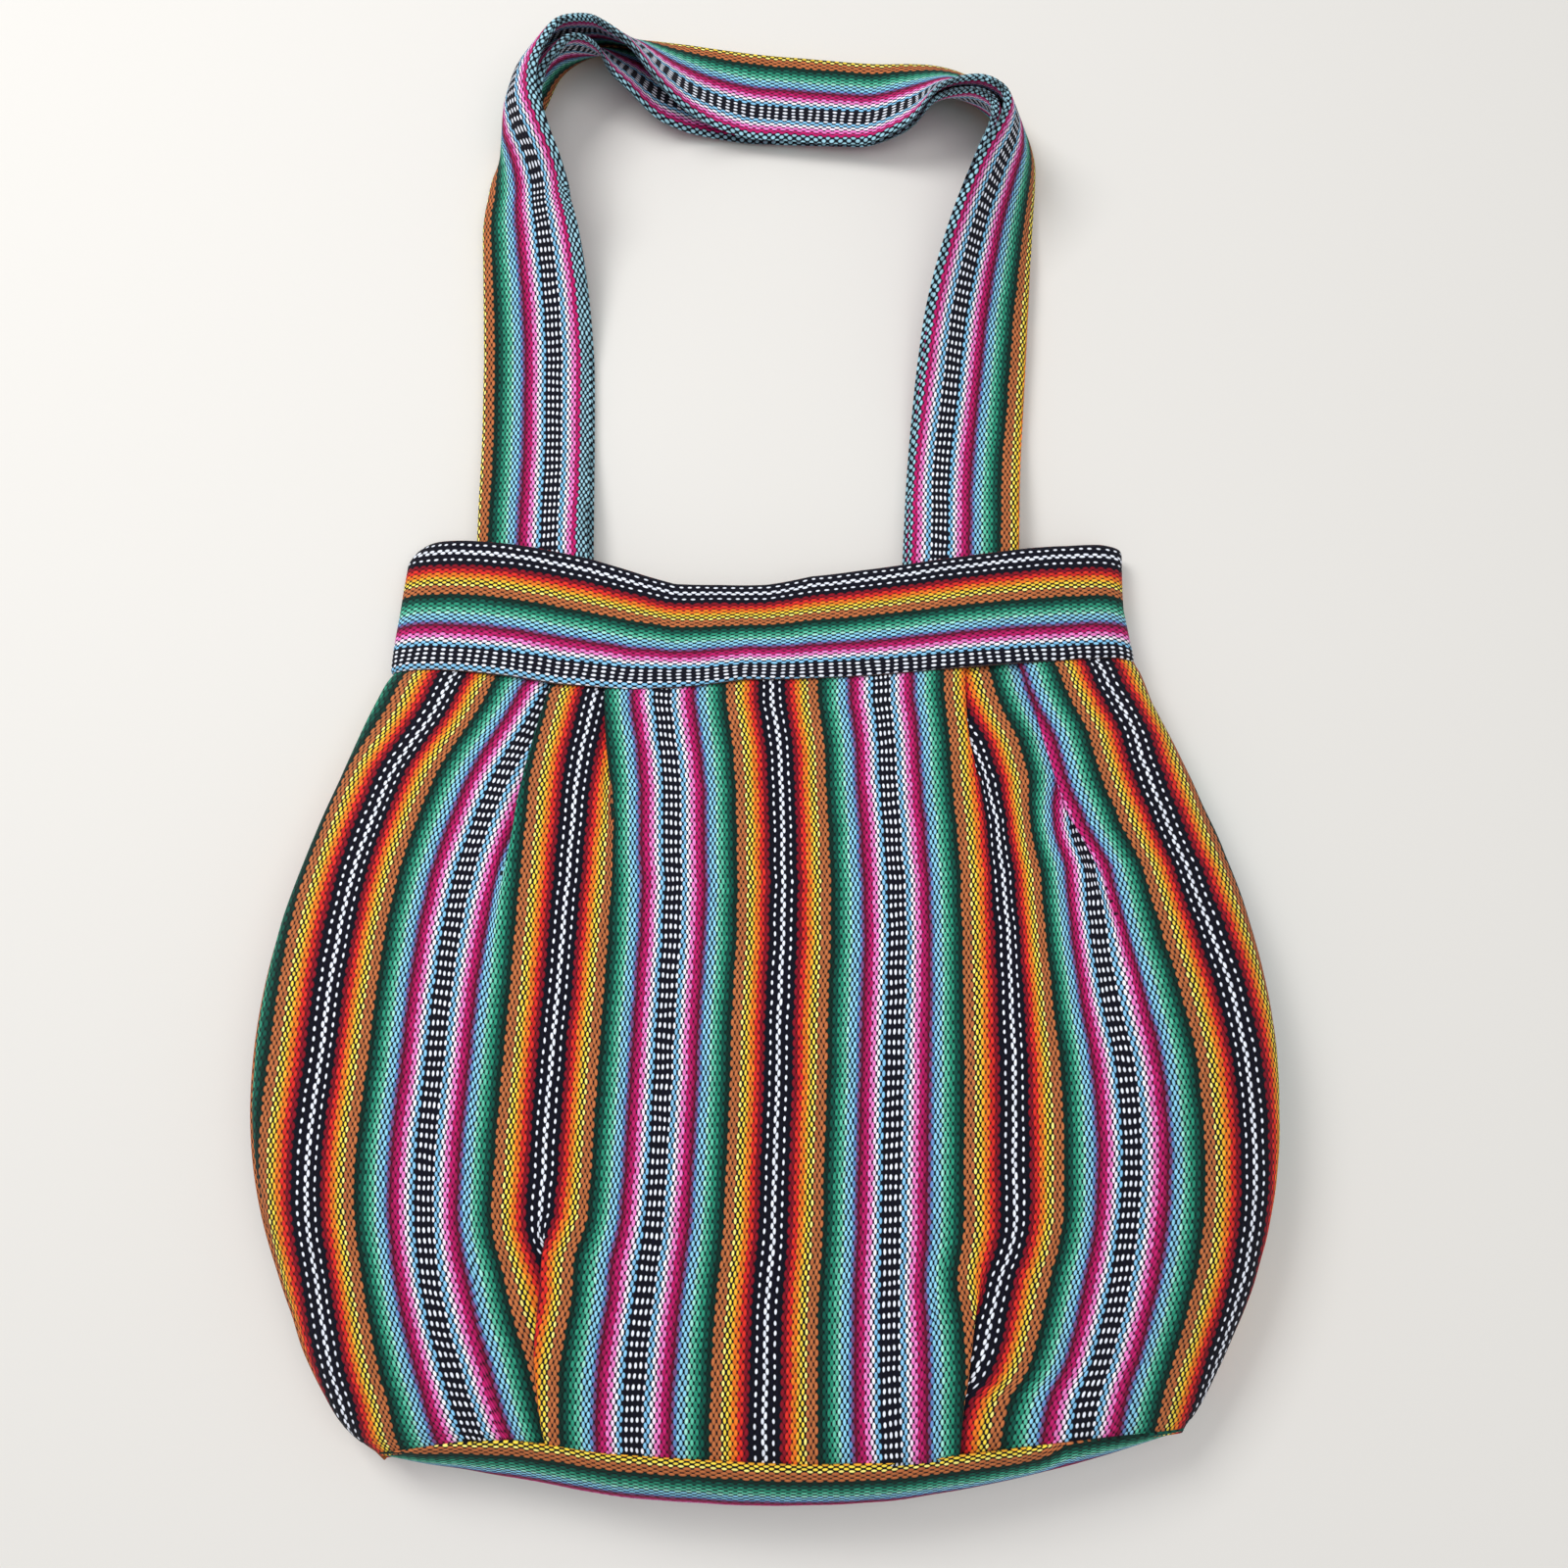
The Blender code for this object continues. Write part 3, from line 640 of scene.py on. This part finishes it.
def panel(name, side):
    """A panel's grid: rows from the base up, columns across the pleats."""
    points, threads = [], []
    for drop in np.linspace(PANEL_DROP + BASE_TURNED_IN, -TOP_TURNED_IN, PANEL_ROWS):
        inside = min(max(drop, 0.0), PANEL_DROP)
        row, arc, at, depth, warp = panel_row(inside, side)
        point, out = on_ring(row, arc)
        # The cloth turns in at the side seams, at the base seam and under the band's edge.
        sides = SEAM_IN * (np.exp(-(at - at[0]) / SIDE_CURVE) + np.exp(-(at[-1] - at) / SIDE_CURVE))
        under_band = drop - (np.interp(at / at[-1], *zip(*BAND_LOW_EDGE)) if side == "front" else 0.0)
        base = SEAM_IN * math.exp(-max(PANEL_DROP - drop, 0.0) / BASE_CURVE)
        top = BAND_IN * np.exp(-np.maximum(under_band, 0.0) / TOP_CURVE)
        large = np.array([wave(x, drop * 0.45, 26.0, 3.1) for x in at])
        small = np.array([wave(x, drop * 0.8, 11.0, 8.7) for x in at])
        soft = RIPPLE * (large + 0.4 * small) * min(drop / 20.0, 1.0) if side == "front" else 0.0
        point = point - out * (depth + sides + base + top - soft)[:, None]
        point[:, 1] += inside - drop
        if side == "front":
            low = max(inside - LIFT_DROP, 0.0) / (PANEL_DROP - LIFT_DROP)
            point[:, 1] += base_lift(point[:, 0]) * low**2
        point[:, 2] = np.maximum(point[:, 2], LOWEST)
        points.append(point)
        threads.append(warp)
    points = np.array(points)
    steps = np.linalg.norm(np.diff(points[::-1], axis=0), axis=2)
    down = np.concatenate([np.zeros((1, steps.shape[1])), np.cumsum(steps, axis=0)])[::-1] / PICK
    # Picks lie straight across the cloth, so their count is evened out from side to side.
    width = np.ones(EVEN) / EVEN
    down = np.array([np.convolve(np.pad(r, EVEN // 2, mode="edge"), width, mode="valid") for r in down])
    threads = np.stack([np.array(threads), down], axis=2)
    if side == "back":
        points, threads = points[:, ::-1], threads[:, ::-1]
    return cloth_object(name, points, threads, thickness=CLOTH)


panel_cotton = woven_cotton("warp_faced_cotton_panel")
for name, side, under in (("front_cloth", "front", "back_panel"), ("back_cloth", "back", "table_top")):
    piece = panel(name, side)
    piece.data.materials.append(panel_cotton)
    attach(piece, "root")
    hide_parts(side + "_panel")

# The strip at the base.
# A boat-shaped strip of the same cloth, its stripes running from side to side. It is sewn to
# the front and the back panel, bulges out between them, and comes to a point at each corner.

BASE_BULGE = 15.0
BULGE_SPREAD, BULGE_ROUND = 2.5, 0.75  # how full the bulge is along the strip and across it
STRIP_REACH = 0.985  # its points lie at this share of the base's half width
STRIP_UNDER, STRIP_OUT = 0.4, 0.2  # how far its edges lie under the panels and out from them
STRIP_SWELL = 0.35
# The thread at the front seam, from the left corner to the right: yellow but for the ends.
STRIP_FIRST_THREAD = (
    (-1, 22), (-0.93, 20), (-0.88, 17.5), (-0.8, 15.6), (-0.7, 14), (-0.5, 13.4), (0, 13.2), (0.58, 13.4),
    (0.63, 15), (0.68, 20), (0.85, 21.5), (1, 25),
)
STRIP_STATIONS, STRIP_COLUMNS = 150, 26

base_row = ring(PANEL_DROP)
base_ends = base_row["points"][[0, RING_POINTS], 0]
base_middle, base_half = base_ends.mean(), (base_ends[1] - base_ends[0]) / 2


def over_row(row, x, side):
    """The point and the outward normal on a row of the bag's front or back, over this X."""
    half = slice(0, RING_POINTS + 1) if side == "front" else slice(2 * RING_POINTS, RING_POINTS - 1, -1)
    arc = np.interp(x, row["points"][half, 0], row["arc"][half])
    point, out = on_ring(row, np.array([min(arc, row["arc"][-1] - 1e-6)]))
    return point[0], out[0]


points, first_threads = [], []
for station in range(STRIP_STATIONS):
    across = STRIP_REACH * math.sin(math.pi * (station / (STRIP_STATIONS - 1) - 0.5))
    front, front_out = over_row(base_row, base_middle + base_half * across, "front")
    back, _ = over_row(base_row, base_middle + base_half * across, "back")
    front = front - front_out * STRIP_UNDER
    front[1] += base_lift(front[0])
    first_threads.append(np.interp(across, *zip(*STRIP_FIRST_THREAD)))
    bulge = BASE_BULGE * (1 - abs(across) ** BULGE_SPREAD)
    section = []
    for share in np.linspace(0.0, 1.0, STRIP_COLUMNS):
        place = front + (back - front) * share
        arch = math.sin(math.pi * share)
        place[1] -= bulge * arch**BULGE_ROUND + STRIP_OUT
        place[1] -= STRIP_SWELL * wave(place[0], share * 20.0, 15.0, 5.0) * arch
        place[2] = max(place[2], LOWEST)
        section.append(place)
    points.append(section)
points = np.array(points)
run = np.linalg.norm(np.diff(points, axis=1), axis=2)
wide = np.concatenate([np.zeros((STRIP_STATIONS, 1)), np.cumsum(run, axis=1)], axis=1) / THREAD
run = np.linalg.norm(np.diff(points[:, STRIP_COLUMNS // 2], axis=0), axis=1)
long = np.concatenate([[0.0], np.cumsum(run)]) / PICK
long = np.repeat(long[:, None], STRIP_COLUMNS, axis=1)
threads = np.stack([np.array(first_threads)[:, None] + wide, long], axis=2)
base_cloth = cloth_object("base_cloth", points, threads, thickness=CLOTH)
base_cloth.data.materials.append(woven_cotton("warp_faced_cotton_base"))
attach(base_cloth, "root")
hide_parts("base_strip")

# The bands at the mouth.
# Each is a strip of the cloth folded double over the panel's gathered edge, its fold at the
# mouth and its lower edge topstitched down. The stripes run round the mouth.

# The threads at the fold and, by the share of the front's width, at the lower edge.
BAND_FOLD_THREAD = -5.5
BAND_LOW_THREAD = ((0, 54.8), (0.35, 54.8), (0.5, 53), (1, 50))
BAND_INSIDE_THREADS = 58.0  # the folded-in half, from the fold down
# How far the fold lies below a straight one, by the share of the front's width.
BAND_TOP_EDGE = (
    (0, -1), (0.04, -1.2), (0.126, -1.8), (0.194, -2.1), (0.26, -1.9), (0.31, -0.2), (0.377, 2.4),
    (0.44, 0.4), (0.5, -0.4), (0.56, -3.1), (0.63, -3.2), (0.725, -2), (0.8, -0.5), (0.91, 0.5),
    (0.96, 0), (1, 1),
)
BAND_THICK = 2.4
BAND_LIFT = {"front": 1.1, "back": 0.3}  # how far the band's outer face stands off the panel's
LIFT_CURVE = 0.7
BAND_PUFF = 0.9
DIP_RISE, RISE_HEIGHT = 0.2, 30.0  # a part that dips lies this share of the dip higher, up here
END_GAP = 0.15  # from each end of the band to the side seam
# How far the outer face comes in at the fold and at the ends, and over which lengths.
FOLD_ROUND, FOLD_CURVE = 1.1, 0.8
END_ROUND, END_CURVE = 0.9, 1.5
INNER_SLACK, INNER_ROUND = 0.4, 0.6  # the inner face lies this much nearer, rounded by this share
# The left corner is rounded off from this share of the height up, the right end all the way.
CORNER_CUT, CUT_FROM, CUT_LENGTH = 7.5, 0.83, 14.0
RIGHT_INSET, INSET_LENGTH = ((0, 3.2), (0.45, 4.4), (0.7, 2.7), (1, 0.5)), 12.0
BAND_COLUMNS = 190


def band(name, side):
    """A band folded double: up its outer face from the low edge, over the fold and down inside."""
    shares = np.concatenate([[0.0, 0.004, 0.012, 0.03, 0.06], np.linspace(0.1, 0.94, 26), [0.97, 0.99, 1.0]])
    across = np.linspace(0.0, 1.0, BAND_COLUMNS)
    low_dip = np.interp(across, *zip(*BAND_LOW_EDGE))
    top_dip = np.interp(across, *zip(*BAND_TOP_EDGE))
    outer, inner = [], []
    for share in shares:
        row = ring(-BAND_WIDTH * share)
        if side == "front":
            arc = np.linspace(END_GAP, row["front"] - END_GAP, BAND_COLUMNS)
            dip = low_dip * (1 - share) + top_dip * share
        else:
            arc = np.linspace(row["arc"][-1] - END_GAP, row["front"] + END_GAP, BAND_COLUMNS)
            dip = np.maximum(top_dip, 0.0) * share
        point, out = on_ring(row, arc)
        ends = np.minimum(np.arange(BAND_COLUMNS), np.arange(BAND_COLUMNS)[::-1]) * abs(arc[1] - arc[0])
        thin = END_ROUND * np.exp(-ends / END_CURVE)
        edge = FOLD_ROUND * math.exp(-(1 - share) * BAND_WIDTH / FOLD_CURVE)
        lift = BAND_LIFT[side] * (1 - math.exp(-share * BAND_WIDTH / LIFT_CURVE))
        if side == "front":
            large = np.array([wave(x, share * 40.0, 22.0, 1.3) for x in point[:, 0]])
            small = np.array([wave(x, share * 30.0, 9.0, 2.3) for x in point[:, 0]])
            lift = lift + BAND_PUFF * (large * 0.5 + small * 0.2) * min(share * 6, 1)
        outside = point + out * (lift - edge - thin)[:, None]
        outside[:, 2] = np.maximum(outside[:, 2], LOWEST)
        inside = point - out * (BAND_THICK - INNER_SLACK - edge * INNER_ROUND - thin)[:, None]
        cut = CORNER_CUT * max((share - CUT_FROM) / (1 - CUT_FROM), 0.0) ** 2
        left = cut * np.exp(-across * row["front"] / CUT_LENGTH)
        inset = np.interp(share, *zip(*RIGHT_INSET))
        right = inset * np.exp(-(1 - across) * row["front"] / INSET_LENGTH)
        for face in (outside, inside):
            face[:, 0] += left - right
            face[:, 1] -= dip
            if side == "front":
                face[:, 2] += DIP_RISE * dip * face[:, 2] / RISE_HEIGHT
        outer.append(outside)
        inner.append(inside)
    points = np.array([*outer, *inner[::-1], outer[0]]).transpose(1, 0, 2)
    low = np.interp(across, *zip(*BAND_LOW_THREAD))
    counts = [low + (BAND_FOLD_THREAD - low) * share for share in shares]
    for share in shares[::-1]:
        counts.append(np.full(BAND_COLUMNS, BAND_FOLD_THREAD - (1 - share) * BAND_INSIDE_THREADS))
    counts = np.array([*counts, low + 0.5]).T
    # The length of a row half way up gives the picks along the band.
    along = np.linalg.norm(np.diff(outer[12], axis=0), axis=1)
    along = np.concatenate([[0.0], np.cumsum(along)]) / PICK
    threads = np.stack([counts, np.repeat(along[:, None], counts.shape[1], axis=1)], axis=2)
    return cloth_object(name, points, threads, closed=True)


band_cotton = woven_cotton("warp_faced_cotton_band")
for side in ("front", "back"):
    piece = band(side + "_band_cloth", side)
    piece.data.materials.append(band_cotton)
    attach(piece, "root")
    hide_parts(side + "_band")

# The handles.
# Two strips folded into flat tubes, sewn inside the bands. They lie one on the other, turn up
# on edge round the two top corners and lie flat again along the top.

HANDLE_WIDTH, HANDLE_THICK, HANDLE_GAP = 42.5, 3.4, 0.3
HANDLE_FOOT = SEAM_LINE + 24.0  # Y of the handles' ends inside the bands
# The outer edge of the handles on the table: from foot to foot, with the radius of each bend.
ROUTE = (
    (-109.4, HANDLE_FOOT, 0),
    (-113.9, 203.0, 60),
    (-85.0, 286.0, 28),
    (110.6, 265.5, 48),
    (95.3, HANDLE_FOOT, 0),
)
BEND_STEPS = 48
# How far the upper handle stands on edge round the two corners, in degrees, by the distance
# along the outer edge from the corner's middle, and the lower handle's share of that.
TWIST_LEFT = (
    (-150, 0), (-125, 8), (-100, 20), (-83, 29), (-75, 34), (-68, 44), (-60, 57), (-50, 70), (-38, 77),
    (-20, 76), (0, 68), (14, 63), (30, 52), (42, 33), (55, 17), (75, 5), (95, 2), (115, 0),
)
TWIST_RIGHT = (
    (-105, 0), (-85, 3), (-65, 6), (-58, 7), (-42, 20), (-22, 42), (-5, 55), (8, 65), (20, 70), (33, 66),
    (50, 54), (65, 43), (85, 31), (107, 20), (125, 15), (150, 8), (180, 0),
)
LOWER_LEFT = ((-35, 1.0), (-18, 0.95), (0, 0.85), (14, 0.78), (30, 0.6), (42, 0.4), (55, 0.3))
LOWER_RIGHT = ((0, 1.0),)
# How far the two stand apart there, in millimetres.
SPREAD_LEFT = ((-110, 0), (-50, 0.6), (-25, 0.6), (-5, 0), (80, 0))
SPREAD_RIGHT = ((-60, 0), (-20, 1), (0, 1.8), (20, 1.8), (60, 0))
# Before the left corner a handle curls over: how much steeper its outer edge is than its middle.
CURL_LEFT = ((-80, 0), (-68, 15), (-58, 34), (-45, 42), (-32, 40), (-20, 25), (-5, 5), (5, 0))
# How far the lower handle shows inside the upper one: at the legs, at the top, and where it changes.
PEEK_LEGS, PEEK_TOP, PEEK_FROM, PEEK_TO = 1.2, -1.9, 120.0, 220.0
FOOT_RISE, FOOT_CLEAR = 60.0, 0.6  # the handles rise between these two distances from the mouth
FRONT_GAP = 1.2  # from the upper handle to the front band's inner face
ROUND_EDGE = 1.8  # a tube's long edges are rounded over this width
HANDLE_PUFF = 0.25
HANDLE_LOWEST = 0.1
HANDLE_STATIONS, HANDLE_COLUMNS = 300, 30
EASED = 7  # over how many stations a handle's direction is evened out
# The thread at a handle's outer edge, by the distance along it: the tubes lie a little turned.
OUTER_THREAD = ((150, 15.0), (270, 12.6), (430, 12.6), (520, 12.0))
HANDLE_THREADS = 50.3  # from the outer edge to the inner one
HANDLE_SELVAGE = 60.4  # the selvage starts at this thread


def ease(share):
    """A share from 0 to 1 that starts and ends gently."""
    share = min(max(share, 0.0), 1.0)
    return share * share * (3 - 2 * share)


def handle_line():
    """The outer edge on the table, straight between round bends, and the index of each bend's middle."""
    corners = [np.array(place[:2]) for place in ROUTE]
    line, middles = [corners[0]], []
    for number in range(1, len(ROUTE) - 1):
        here, radius = corners[number], ROUTE[number][2]
        into = (here - corners[number - 1]) / np.linalg.norm(here - corners[number - 1])
        out = (corners[number + 1] - here) / np.linalg.norm(corners[number + 1] - here)
        bend = math.acos(np.clip(into @ out, -1, 1))
        centre = here - into * radius * math.tan(bend / 2) + radius * np.array([into[1], -into[0]])
        for step in range(BEND_STEPS + 1):
            angle = bend * step / BEND_STEPS
            spoke = np.array([-into[1], into[0]]) * math.cos(angle) + into * math.sin(angle)
            line.append(centre + radius * spoke)
        middles.append(len(line) - 1 - BEND_STEPS // 2)
    return np.array([*line, corners[-1]]), middles


def handle_path(layer):
    """The stations of a handle: places, inward directions, twists, curls, gaps and distances."""
    line, (_, left, right) = handle_line()
    arc = np.concatenate([[0.0], np.cumsum(np.linalg.norm(np.diff(line, axis=0), axis=1))])
    length = np.linspace(0.0, arc[-1], HANDLE_STATIONS)
    path = np.stack([np.interp(length, arc, line[:, k]) for k in range(2)], axis=1)
    along = np.pad(np.gradient(path, length, axis=0), ((EASED // 2, EASED // 2), (0, 0)), mode="edge")
    width = np.ones(EASED) / EASED
    along = np.stack([np.convolve(along[:, k], width, mode="valid") for k in range(2)], axis=1)
    along /= np.linalg.norm(along, axis=1)[:, None]
    twist, spread = 0 * length, 0 * length
    for middle, twists, shares, spreads in (
        (left, TWIST_LEFT, LOWER_LEFT, SPREAD_LEFT),
        (right, TWIST_RIGHT, LOWER_RIGHT, SPREAD_RIGHT),
    ):
        away = length - arc[middle]
        stand = np.array([course(twists, a) if twists[0][0] < a < twists[-1][0] else 0.0 for a in away])
        twist += stand if layer else stand * np.interp(away, *zip(*shares))
        spread += [course(spreads, a) if spreads[0][0] < a < spreads[-1][0] else 0.0 for a in away]
    curl = np.interp(length - arc[left], *zip(*CURL_LEFT))
    inward = np.stack([along[:, 1], -along[:, 0]], axis=1)
    return path, inward, np.radians(twist), np.radians(curl), spread, length


def inside_band(x, y, side):
    """The height of a band's inner face at this place, and Y of the band's folded edge there."""
    drop = -BAND_WIDTH
    point, out = over_row(ring(drop), x, side)
    edge = point[1]
    for _ in range(3):
        point, out = over_row(ring(drop), x, side)
        drop = max(drop + (point[1] - min(y, edge)), -BAND_WIDTH)
    return point[2] - BAND_THICK / out[2], edge


def handle_height(place, layer):
    """How high a handle lies over this place: near the mouth it rises to go in between the bands."""
    x, y = place
    if y >= SEAM_LINE + BAND_WIDTH + FOOT_RISE:
        return 0.0
    seat, edge = inside_band(x, y, "back")
    low = ease((edge + FOOT_RISE - y) / (FOOT_RISE - FOOT_CLEAR)) * (seat + HANDLE_GAP)
    seat, edge = inside_band(x, y, "front")
    room = max(seat - FRONT_GAP - 2 * HANDLE_THICK - HANDLE_GAP - low, 0.0)
    return low + ease((edge + FOOT_RISE - y) / (FOOT_RISE - FOOT_CLEAR)) * room * layer


def handle(name, layer):
    """A handle's flat tube, closed at both ends; layer 0 is the lower handle, 1 the upper one."""
    across = np.linspace(0.0, 1.0, HANDLE_COLUMNS)
    middle = HANDLE_COLUMNS // 2
    points, threads = [], []
    for place, inner, twist, curl, apart, length in zip(*handle_path(layer)):
        height = handle_height(place, layer)
        tilt = twist + math.asin((handle_height(place + inner * HANDLE_WIDTH, layer) - height) / HANDLE_WIDTH)
        tilts = (tilt + curl * (1 - 2 * across))[:, None]
        wide = np.hstack([inner * np.cos(tilts), np.sin(tilts)])
        thick = np.hstack([-inner * np.sin(tilts), np.cos(tilts)])
        steps = (wide[1:] + wide[:-1]) / 2 * HANDLE_WIDTH / (HANDLE_COLUMNS - 1)
        curve = np.vstack([np.zeros(3), np.cumsum(steps, axis=0)])
        stack = HANDLE_THICK + HANDLE_GAP + apart
        peek = PEEK_LEGS + (PEEK_TOP - PEEK_LEGS) * ease((place[1] - PEEK_FROM) / (PEEK_TO - PEEK_FROM))
        origin = np.array([*(place + inner * stack * math.sin(twist) ** 2), height])
        origin = origin + wide[middle] * peek * (1 - layer)
        first_thread = np.interp(length, *zip(*OUTER_THREAD))
        section, counts = [], []
        for upper in (True, False):
            for number in range(HANDLE_COLUMNS) if upper else reversed(range(HANDLE_COLUMNS)):
                share = across[number]
                from_edge = min(share, 1 - share) * HANDLE_WIDTH
                rise = 0.5 * HANDLE_THICK * max(1 - from_edge / ROUND_EDGE, 0.0) ** 2
                if upper:
                    puff = HANDLE_PUFF * wave(length, share * 30.0, 14.0, 4.0 + layer)
                    rise = HANDLE_THICK - rise + puff
                section.append(origin + curve[number] + thick[number] * (stack * layer + rise))
                counts.append((first_thread + HANDLE_THREADS * share, length / PICK))
        points.append([*section, section[0]])
        threads.append([*counts, counts[0]])
    points = np.array(points)
    points[:, :, 2] = np.maximum(points[:, :, 2], HANDLE_LOWEST)
    return cloth_object(name, points, np.array(threads), closed=True)


handle_cotton = woven_cotton("warp_faced_cotton_handle", HANDLE_SELVAGE)
for layer, (name, node, under) in enumerate(
    (("lower_handle", "back_handle", "table_top"), ("upper_handle", "front_handle", "lower_handle"))
):
    piece = handle(name, layer)
    piece.data.materials.append(handle_cotton)
    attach(piece, "root")
    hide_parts(node)

# The scene is brought up to date, and the end.

bpy.context.view_layer.update()
